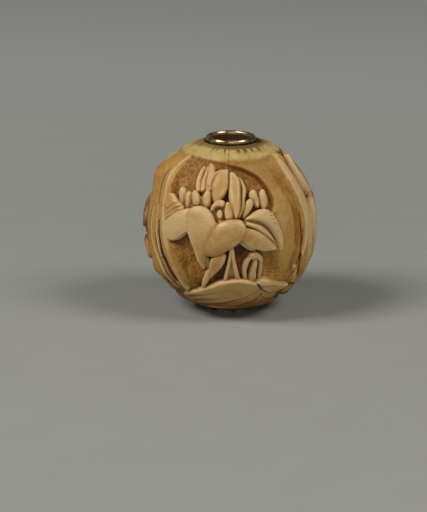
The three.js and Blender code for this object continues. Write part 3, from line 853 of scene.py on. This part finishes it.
COLLAR_SWELL = 0.07
share = (np.arange(1, COLLAR_ROWS + 1) / COLLAR_ROWS)[:, None]
collar_radii = COLLAR_RADIUS + (LIP_RADIUS - COLLAR_RADIUS) * share
collar_levels = collar_edge_height + (SEAT_HEIGHT - collar_edge_height) * share
collar_levels += COLLAR_SWELL * np.sin(math.pi * share)
collar = turned_rows(np.concatenate([collar_radii, collar_levels], -1))
mouth = turned_rows([
    (COUNTERBORE_RADIUS + 0.04, SEAT_HEIGHT), (COUNTERBORE_RADIUS, SEAT_HEIGHT - 0.04),
    (COUNTERBORE_RADIUS, COUNTERBORE_FLOOR), (BORE_RADIUS, COUNTERBORE_FLOOR),
    (BORE_RADIUS, 2.5), (BORE_RADIUS, 0.0),
])
upside_down = np.array([1, 1, -1])
carved = ball + outward * (height + swells - RELIEF)[..., None]
collar_crack = scratch(crack, CRACK_WIDTH, in_drawing(collar), collar[..., 1] < 0)
collar[..., 2] += 0.01 * waver(0.5)[:COLLAR_ROWS] - 0.03 * collar_crack
rows = [carved, collar, mouth, (mouth * upside_down)[-2::-1], (collar * upside_down)[::-1]]
grid = np.concatenate(rows)
print("grid of", len(grid), "rows and", COLUMNS, "columns")

# %% Marks for the turned rows
COLLAR_WORN = 0.2423


def over_rows(on_ball_rows, upper=0.0, in_mouths=0.0, lower=0.0):
    """One mark for every row: the ball, the upper collar, both mouths, the lower collar."""
    turned = [(upper, COLLAR_ROWS), (in_mouths, 2 * len(mouth) - 1), (lower, COLLAR_ROWS)]
    return np.concatenate(
        [on_ball_rows] + [np.broadcast_to(value, (count, COLUMNS)) for value, count in turned]
    )


# the mouths and the bore get full grime and stain, so they are painted dark as shade and dirt
carving = [
    over_rows(blush), over_rows(grime_and_shade, 0, 1), over_rows(stain_and_shade, 0.9 * collar_crack, 1),
    over_rows(worn_and_lit, COLLAR_WORN, 0, COLLAR_WORN),
]
tone = [over_rows(banded), over_rows(on_hem, 1, 0, 1), over_rows(strip), over_rows(pale)]
print("marked vertices:", grid.shape[0] * grid.shape[1])

# %% Helpers that make an object, and the body's mesh
def put_in_scene(name, data):
    """An object that shows some data, linked into the scene."""
    item = bpy.data.objects.new(name, data)
    bpy.context.scene.collection.objects.link(item)
    return item


def grid_mesh(name, points):
    """A mesh from rows of rings; each ring closes on itself, and so do the rows."""
    count, sides = points.shape[:2]
    index = np.arange(count * sides).reshape(count, sides)
    ahead = np.roll(index, -1, axis=1)
    upper = np.roll(index, -1, axis=0)
    upper_ahead = np.roll(ahead, -1, axis=0)
    quads = np.stack([index, ahead, upper_ahead, upper], -1)
    mesh = bpy.data.meshes.new(name)
    mesh.from_pydata(to_frame(points).reshape(-1, 3), [], quads.reshape(-1, 4).tolist())
    mesh.validate()
    mesh.shade_smooth()
    return put_in_scene(name, mesh)


carved_ivory = grid_mesh("carved_ivory", grid)
for name, four in (("carving", carving), ("tone", tone)):
    marks = carved_ivory.data.color_attributes.new(name, "FLOAT_COLOR", "POINT")
    marks.data.foreach_set("color", np.stack(four, -1).reshape(-1).astype(np.float32))
print("faces before thinning:", len(carved_ivory.data.polygons))

# %% Thin the mesh where it is plain
# the thinning ends a little below the number that it is asked for
TRIANGLES = 380000
thinning = carved_ivory.modifiers.new("thinning", "DECIMATE")
thinning.ratio = TRIANGLES / (2 * len(carved_ivory.data.polygons))
seen = carved_ivory.evaluated_get(bpy.context.evaluated_depsgraph_get())
thinned = bpy.data.meshes.new_from_object(seen)
carved_ivory.modifiers.clear()
carved_ivory.data = thinned
carved_ivory.data.shade_smooth()
print("faces of the carved body:", len(carved_ivory.data.polygons))
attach(carved_ivory, "root")
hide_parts("carved_body")

# %% [markdown]
# ## Gilt eyelets
# Each mouth holds a turned eyelet: a rolled rim over the collar and a shank down the bore. It
# is a lathe piece, so its outline is swept like the ball's. A real rim was rolled with a hand
# tool, so the outline wavers by a few hundredths of a millimetre as it goes round.

# %% Turn the eyelets
SHANK_WALL = 0.25
SHANK_LENGTH = 3.0
RIM_HEIGHT = 0.36
RIM_WIDTH = 0.52
CREST_WIDTH = 0.14
BEDDING_HEIGHT = 0.12
EYELET_SIDES = 160
underside = SEAT_HEIGHT + BEDDING_HEIGHT
rim_middle = BORE_RADIUS + RIM_WIDTH / 2


def eyelet_outline():
    """Radius and height over the ball's middle, round the section of one eyelet."""
    outline = [(BORE_RADIUS + 0.02, underside - SHANK_LENGTH),
               (BORE_RADIUS + SHANK_WALL - 0.02, underside - SHANK_LENGTH)]
    outline += [(BORE_RADIUS + SHANK_WALL, underside - k) for k in (2.9, 2.0, 1.0, 0.3, 0.06)]
    outline += [(BORE_RADIUS + SHANK_WALL + 0.04, underside)]
    for turn in np.linspace(0, math.pi, 25):
        reach = math.copysign(CREST_WIDTH / 2, math.cos(turn)) * min(1, 6 * abs(math.cos(turn)))
        reach += (RIM_WIDTH / 2 - CREST_WIDTH / 2) * math.cos(turn)
        outline.append((rim_middle + reach, underside + RIM_HEIGHT * math.sin(turn)))
    outline += [(BORE_RADIUS, underside - k) for k in (0.1, 0.5, 1.2, 2.0, 2.9)]
    return np.array(outline)


def swept(outline, sides, wobble, seed):
    """Sweep an outline round the bore, with a slow wobble in radius."""
    turn = (np.arange(sides) * 2 * math.pi / sides)[None, :]
    phases = np.random.default_rng(seed).uniform(0, 2 * math.pi, 4)
    slow = sum(np.sin((k + 2) * turn + phases[k]) / (k + 2) for k in range(4))
    return round_the_bore(outline[:, :1] + wobble * slow, turn, outline[:, 1:])


def flipped(points):
    """Turn a piece end for end about the X axis, as the lower eyelet sits."""
    return points * np.array([1, -1, -1])


eyelets = {}
for place, seed in (("upper", 11), ("lower", 12)):
    points = swept(eyelet_outline(), EYELET_SIDES, 0.008, seed)
    # the flat crest keeps its height, so the bead stands as the frame does
    if place == "lower":
        points = flipped(points)
    eyelet = grid_mesh(place + "_gilt_eyelet", points)
    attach(eyelet, "root")
    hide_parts(place + "_eyelet")
    eyelets[place] = eyelet
    print(eyelet.name, "has", len(eyelet.data.polygons), "faces")

# %% [markdown]
# ## Dark bedding and painted shadow
# A thin bed of dark lacquer or pitch holds each rim. Out past the rim it is laid as a ragged
# dark line round the ring, with a wedge to the right; that outer part stands for squeezed-out
# lacquer and grime and for the ring's shadow, so it is partly painted shadow. It is swept too,
# with an outer radius that changes round the ring and a skin that follows the collar's slope.

# %% Lay the bedding
BEDDING_SIDES = 240


def bedding_points(seed, wedge_at):
    """Rings round the section of one bed, ragged on the outside and with a wedge."""
    turn = np.arange(BEDDING_SIDES) * 2 * math.pi / BEDDING_SIDES
    random = np.random.default_rng(seed)
    ragged = sum(
        random.uniform(0.3, 1) * np.sin(k * turn + random.uniform(0, 2 * math.pi)) / k**0.6
        for k in (3, 5, 8, 13, 21)
    )
    from_wedge = np.abs((turn - wedge_at + math.pi) % (2 * math.pi) - math.pi)
    # painted shadow and grime: the bed reaches out past the rim in a ragged edge and far out in
    # one wedge
    outer = LIP_RADIUS + 0.04 + 0.04 * ragged + 0.54 * np.exp(-(from_wedge / 0.22) ** 2)
    run = np.maximum(outer - LIP_RADIUS, 0)
    slope = (SEAT_HEIGHT - collar_edge_height) / (COLLAR_RADIUS - LIP_RADIUS)
    skin = 0.035
    rings = [
        (COUNTERBORE_RADIUS, SEAT_HEIGHT + 0.01),
        (LIP_RADIUS, SEAT_HEIGHT + 0.01),
        (outer, SEAT_HEIGHT - slope * run + 0.004),
        (outer - 0.02, SEAT_HEIGHT - slope * run + skin),
        (LIP_RADIUS + 0.5 * run, SEAT_HEIGHT - 0.5 * slope * run + 1.7 * skin),
        (LIP_RADIUS - 0.02, underside - 0.03),
        (LIP_RADIUS - 0.12, underside - 0.01),
        (COUNTERBORE_RADIUS, underside - 0.01),
    ]
    return np.stack([round_the_bore(radius, turn, level) for radius, level in rings])


beddings = {}
for place, seed, wedge_at in (("upper", 21, math.radians(82)), ("lower", 22, math.radians(200))):
    points = bedding_points(seed, wedge_at)
    if place == "lower":
        points = flipped(points)
    bed = grid_mesh(place + "_dark_bedding", points)
    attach(bed, "root")
    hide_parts(place + "_bedding")
    beddings[place] = bed
    print(bed.name, "has", len(bed.data.polygons), "faces")

# %% [markdown]
# ## Finishes
# Each finish is a small network of nodes. The ivory reads the eight numbers of the carving:
# the tones choose between ochre, honey, pale and the collar's colour, grime and stains with
# their painted shade pull it to brown, wear and painted highlight make it paler, and slow
# noise adds the warm patches of old ivory.

# %% Helpers for the finishes
def linear(red, green, blue):
    """A screen colour of 0 to 255 as the linear colour that a shader wants."""
    def one(value):
        value /= 255
        return value / 12.92 if value <= 0.04045 else ((value + 0.055) / 1.055) ** 2.4

    return (one(red), one(green), one(blue), 1.0)


class Finish:
    """A material with one Principled shader, and short ways to add its nodes."""

    def __init__(self, name):
        self.material = bpy.data.materials.new(name)
        self.material.use_nodes = True
        self.tree = self.material.node_tree
        self.shader = self.tree.nodes["Principled BSDF"]
        self.place = self.add("ShaderNodeTexCoord").outputs["Object"]

    def add(self, kind, **settings):
        node = self.tree.nodes.new(kind)
        for key, value in settings.items():
            setattr(node, key, value)
        return node

    def join(self, source, socket):
        self.tree.links.new(source, socket)

    def feed(self, name, source):
        """Let a source drive one input of the shader."""
        self.join(source, self.shader.inputs[name])

    def give(self, values, node=None):
        """Set inputs of the shader, or of another node, to plain values."""
        for name, value in values.items():
            (self.shader if node is None else node).inputs[name].default_value = value

    def noise(self, scale, detail=3.0, roughness=0.55, place=None):
        node = self.add("ShaderNodeTexNoise")
        self.give({"Scale": scale, "Detail": detail, "Roughness": roughness}, node)
        self.join(self.place if place is None else place, node.inputs["Vector"])
        return node.outputs["Fac"]

    def ramp(self, source, low, high, to_low=0.0, to_high=1.0):
        node = self.add("ShaderNodeMapRange", interpolation_type="SMOOTHSTEP")
        self.give({"From Min": low, "From Max": high, "To Min": to_low, "To Max": to_high}, node)
        self.join(source, node.inputs["Value"])
        return node.outputs["Result"]

    def math(self, operation, a, b):
        node = self.add("ShaderNodeMath", operation=operation)
        for socket, value in zip(node.inputs, (a, b)):
            if isinstance(value, (int, float)):
                socket.default_value = value
            else:
                self.join(value, socket)
        return node.outputs[0]

    def mix(self, share, a, b, kind="MIX"):
        node = self.add("ShaderNodeMix", data_type="RGBA", blend_type=kind)
        for name, value in (("Factor_Float", share), ("A_Color", a), ("B_Color", b)):
            socket = next(s for s in node.inputs if s.identifier == name)
            if isinstance(value, (int, float, tuple)):
                socket.default_value = value
            else:
                self.join(value, socket)
        return next(s for s in node.outputs if s.identifier == "Result_Color")

    def tint(self, colour, over, source, low, high, strength=1.0):
        """Lay one colour over another where a source is high."""
        return self.mix(self.ramp(source, low, high, 0.0, strength), colour, over)

    def bump(self, source, distance, strength):
        node = self.add("ShaderNodeBump")
        self.give({"Distance": distance, "Strength": strength}, node)
        self.join(source, node.inputs["Height"])
        self.feed("Normal", node.outputs["Normal"])


print("finish helpers ready")

# %% Old ivory
PALE = linear(189, 150, 86)
CREAM = linear(212, 181, 128)
WARM = linear(178, 123, 63)
COLLAR = linear(192, 166, 104)
COLLAR_OCHRE = linear(160, 122, 62)
HONEY = linear(182, 141, 72)
WARM_HONEY = linear(172, 122, 56)
OCHRE = linear(166, 118, 49)
DARK_OCHRE = linear(128, 84, 31)
BROWN = linear(106, 61, 13)
DEEP = linear(54, 26, 5)
BLUSH = linear(204, 146, 92)
STRIP_OCHRE = linear(146, 94, 30)
RAY_AND_SHADOW_BROWN = linear(84, 58, 22)

ivory = Finish("old_ivory")


def channels(name):
    """The four numbers that each vertex carries under a name."""
    source = ivory.add("ShaderNodeAttribute", attribute_name=name)
    split = ivory.add("ShaderNodeSeparateColor")
    ivory.join(source.outputs["Color"], split.inputs["Color"])
    return [split.outputs[k] for k in ("Red", "Green", "Blue")] + [source.outputs["Alpha"]]


blushed, hollows, stains_and_shade, rubbed_and_lit = channels("carving")
band, on_collar, on_strip, on_form = channels("tone")
patches = ivory.ramp(ivory.noise(480, 2.5), 0.46, 0.7, 0.0, 0.7)
fine = ivory.noise(2600, 4.0)
grain = ivory.noise(5200, 3.0)
body_colour = ivory.mix(patches, PALE, WARM)
body_colour = ivory.tint(body_colour, BLUSH, blushed, 0.0, 1.0, 0.75)
body_colour = ivory.tint(body_colour, WARM, fine, 0.45, 0.7, 0.5)
# wear and painted highlight: rubbed edges and lit forms turn cream
body_colour = ivory.tint(body_colour, CREAM, rubbed_and_lit, 0.05, 0.6, 0.7)
honey = ivory.mix(patches, HONEY, WARM_HONEY)
honey = ivory.tint(honey, DARK_OCHRE, fine, 0.5, 0.7, 0.45)
mottles = ivory.ramp(ivory.noise(1100, 2.0), 0.36, 0.62, 0.3, 0.95)
honey = ivory.mix(ivory.math("MULTIPLY", on_strip, mottles), honey, STRIP_OCHRE)
ground_colour = ivory.tint(OCHRE, DARK_OCHRE, fine, 0.38, 0.66)
ground_colour = ivory.tint(ground_colour, BROWN, grain, 0.5, 0.66, 0.5)
colour = ivory.mix(band, ground_colour, honey)
colour = ivory.mix(on_form, colour, body_colour)
# grime and painted shade: brown in the hollows, nearly black in the deepest
colour = ivory.tint(colour, BROWN, hollows, 0.02, 0.42, 0.8)
colour = ivory.tint(colour, DEEP, hollows, 0.35, 0.9, 0.85)
collar_colour = ivory.tint(COLLAR, COLLAR_OCHRE, fine, 0.4, 0.66, 0.4)
colour = ivory.mix(on_collar, colour, ivory.mix(patches, collar_colour, COLLAR_OCHRE))
# stains, with painted shade at the foot, under it, below the collar and along the wall's arc
colour = ivory.tint(colour, BROWN, stains_and_shade, 0.1, 0.9, 0.85)
print("colours mixed for the ivory")

# %% [markdown]
# Round the gilt ring the collar has taken up dirt along fine rays. A noise that changes only
# with the direction from the bore gives the rays, and a second one gives each its own length.
# Right at the ring the collar is darkened too, more on the right: dirt and the ring's painted
# shadow.

# %% Rays and the ring's painted shadow on the collar
ivory_xyz = ivory.add("ShaderNodeSeparateXYZ")
ivory.join(ivory.place, ivory_xyz.inputs["Vector"])
squares = [ivory.math("POWER", ivory_xyz.outputs[axis], 2.0) for axis in ("X", "Y")]
from_bore = ivory.math("POWER", ivory.math("ADD", *squares), 0.5)


def round_noise(turns):
    """A noise that depends only on the direction from the bore."""
    heading = ivory.add("ShaderNodeCombineXYZ")
    for axis in ("X", "Y"):
        ivory.join(ivory.math("DIVIDE", ivory_xyz.outputs[axis], from_bore), heading.inputs[axis])
    return ivory.noise(turns, 1.0, 0.5, heading.outputs["Vector"])


outward_share = ivory.ramp(from_bore, LIP_RADIUS * MM, COLLAR_RADIUS * MM)
reach = ivory.ramp(round_noise(9.0), 0.35, 0.62, 0.42, 1.05)
shown = ivory.ramp(ivory.math("SUBTRACT", reach, outward_share), 0.0, 0.5)
rays = ivory.math("MULTIPLY", ivory.ramp(round_noise(15.0), 0.43, 0.56, 0.0, 0.9), shown)
# dirt and painted shadow next to the ring, stronger towards the right where the ring's shadow
# falls
ring_dirt_and_shadow = ivory.ramp(outward_share, 0.0, 0.75, 1.0, 0.0)
left_to_right = ivory.ramp(ivory_xyz.outputs["X"], -3 * MM, 0.5 * MM, 0.6, 1.0)
ring_dirt_and_shadow = ivory.math("MULTIPLY", ring_dirt_and_shadow, left_to_right)
# the collar's mark: dirt in the rays, and dirt with painted shadow at the ring
dirt = ivory.math("MULTIPLY", ivory.math("MAXIMUM", rays, ring_dirt_and_shadow), on_collar)
colour = ivory.tint(colour, RAY_AND_SHADOW_BROWN, dirt, 0.0, 1.0, 0.85)
ivory.feed("Base Color", colour)
ivory.feed("Roughness", ivory.ramp(on_form, 0.0, 1.0, 0.56, 0.42))
ivory.feed("Specular IOR Level", ivory.ramp(on_form, 0.0, 1.0, 0.22, 0.42))
ivory.give({"Subsurface Weight": 0.12, "Subsurface Radius": (1.0, 0.6, 0.3)})
ivory.give({"Subsurface Scale": 0.0005, "IOR": 1.5})
ivory.bump(ivory.math("ADD", grain, fine), 0.00004, 0.7)
carved_ivory.data.materials.clear()
carved_ivory.data.materials.append(ivory.material)
print("finish:", ivory.material.name)

# %% [markdown]
# The gilt is bright only on the worn crest. Below it the metal has gone brown, and the lip
# inside is nearly black, so the colour follows the height over the rim's underside.

# %% Tarnished gilt and dark lacquer
gilt = Finish("tarnished_gilt")
xyz = gilt.add("ShaderNodeSeparateXYZ")
gilt.join(gilt.place, xyz.inputs["Vector"])
from_middle = gilt.math("ABSOLUTE", gilt.math("SUBTRACT", xyz.outputs["Z"], MIDDLE * MM), 0.0)
crest = gilt.ramp(from_middle, (underside - 0.02) * MM, (underside + 0.33) * MM)
spots = gilt.ramp(gilt.noise(1500, 3.0), 0.4, 0.7)
bright = gilt.mix(spots, linear(222, 196, 142), linear(120, 94, 54))
colour = gilt.mix(crest, linear(70, 38, 17), bright)
gilt.feed("Base Color", colour)
gilt.feed("Metallic", gilt.ramp(crest, 0.0, 0.7, 0.1, 0.86))
gilt.feed("Roughness", gilt.ramp(crest, 0.0, 1.0, 0.6, 0.28))
gilt.bump(gilt.noise(3000, 2.0), 0.00002, 0.4)
for eyelet in eyelets.values():
    eyelet.data.materials.append(gilt.material)

lacquer = Finish("dark_pitch")
speckle = lacquer.ramp(lacquer.noise(2400, 4.0), 0.45, 0.7)
colour = lacquer.mix(speckle, linear(32, 20, 9), linear(66, 46, 22))
lacquer.feed("Base Color", colour)
lacquer.give({"Roughness": 0.75, "Specular IOR Level": 0.12})
lacquer.bump(lacquer.noise(2600, 3.0), 0.00003, 0.8)
for bed in beddings.values():
    bed.data.materials.append(lacquer.material)
for node in frame["nodes"].values():
    name = node.name
    finish = ivory if "body" in name else gilt if "eyelet" in name else lacquer
    node.data.materials.clear()
    node.data.materials.append(finish.material)
print("finishes:", gilt.material.name, lacquer.material.name)

# %% [markdown]
# ## Floor, light and camera
# The bead stands on a plain grey sheet, whose colour is painted lighter towards the back as
# light there. Two soft lamps stand left and right and a little in front, which gives the two
# soft shadows beside the bead. A weaker lamp in front and a dim even world fill the shade. The
# camera looks along +Y from 15 degrees above the table with a long lens, which gives ten
# picture points to the millimetre.

# %% Floor
FLOOR_HALF = 1.5
floor_mesh = bpy.data.meshes.new("floor_sheet")
floor_mesh.from_pydata(
    [(FLOOR_HALF * x, FLOOR_HALF * y, 0) for x, y in ((-1, -1), (1, -1), (1, 1), (-1, 1))],
    [], [(0, 1, 2, 3)])
floor = put_in_scene("floor_sheet", floor_mesh)
sheet = Finish("grey_sheet")
where = sheet.add("ShaderNodeSeparateXYZ")
sheet.join(sheet.place, where.inputs["Vector"])
# painted light: the sheet's colour lightens towards the back, standing in for light that falls
# there
painted_light_far_away = sheet.ramp(where.outputs["Y"], 0.02, 0.14)
near_colour = sheet.mix(sheet.noise(160, 4.0), linear(151, 151, 144), linear(156, 156, 149))
colour = sheet.mix(painted_light_far_away, near_colour, linear(165, 166, 160))
sheet.feed("Base Color", colour)
sheet.give({"Roughness": 0.9, "Specular IOR Level": 0.2})
floor_mesh.materials.append(sheet.material)
print("floor laid")

# %% Lamps
world = bpy.data.worlds.new("studio")
bpy.context.scene.world = world
world.use_nodes = True
background = world.node_tree.nodes["Background"]
background.inputs["Color"].default_value = (1.0, 1.0, 1.0, 1)
background.inputs["Strength"].default_value = 0.025


def lamp(name, azimuth_degrees, elevation_degrees, distance, size, power):
    """A square soft lamp that looks at the bead from an azimuth and an elevation."""
    data = bpy.data.lights.new(name, "AREA")
    data.shape = "SQUARE"
    data.size = size
    data.energy = power
    turn, rise = math.radians(azimuth_degrees), math.radians(elevation_degrees)
    level = math.cos(rise)
    away = Vector((math.sin(turn) * level, -math.cos(turn) * level, math.sin(rise)))
    item = put_in_scene(name, data)
    item.location = Vector((0, 0, MIDDLE * MM)) + away * distance
    item.rotation_euler = away.to_track_quat("Z", "Y").to_euler()


lamp("left_lamp", -66, 46, 0.5, 0.2, 1.67)
lamp("right_lamp", 64, 47, 0.5, 0.2, 1.13)
lamp("front_lamp", 0, 14, 0.6, 0.3, 0.78)
print("lamps placed")

# %% Camera
CAMERA_DISTANCE = 0.3
FRAME_SIDE = 0.0512
LEFT_SHIFT = 0.00171
DOWN_SHIFT = 0.00347
camera_data = bpy.data.cameras.new("camera")
camera_data.sensor_width = 36
camera_data.lens = camera_data.sensor_width * CAMERA_DISTANCE / FRAME_SIDE
camera = put_in_scene("camera", camera_data)
back = Vector((0, -math.cos(LEAN), math.sin(LEAN)))
upward = Vector((0, math.sin(LEAN), math.cos(LEAN)))
target = Vector((-LEFT_SHIFT, 0, MIDDLE * MM)) - DOWN_SHIFT * upward
camera.location = target + back * CAMERA_DISTANCE
camera.rotation_mode = "QUATERNION"
camera.rotation_quaternion = back.to_track_quat("Z", "Y")
camera_data.clip_start = 0.01
camera_data.clip_end = 5
bpy.context.scene.camera = camera
bpy.context.scene.view_settings.view_transform = "Standard"
print("lens:", round(camera_data.lens, 1), "mm")
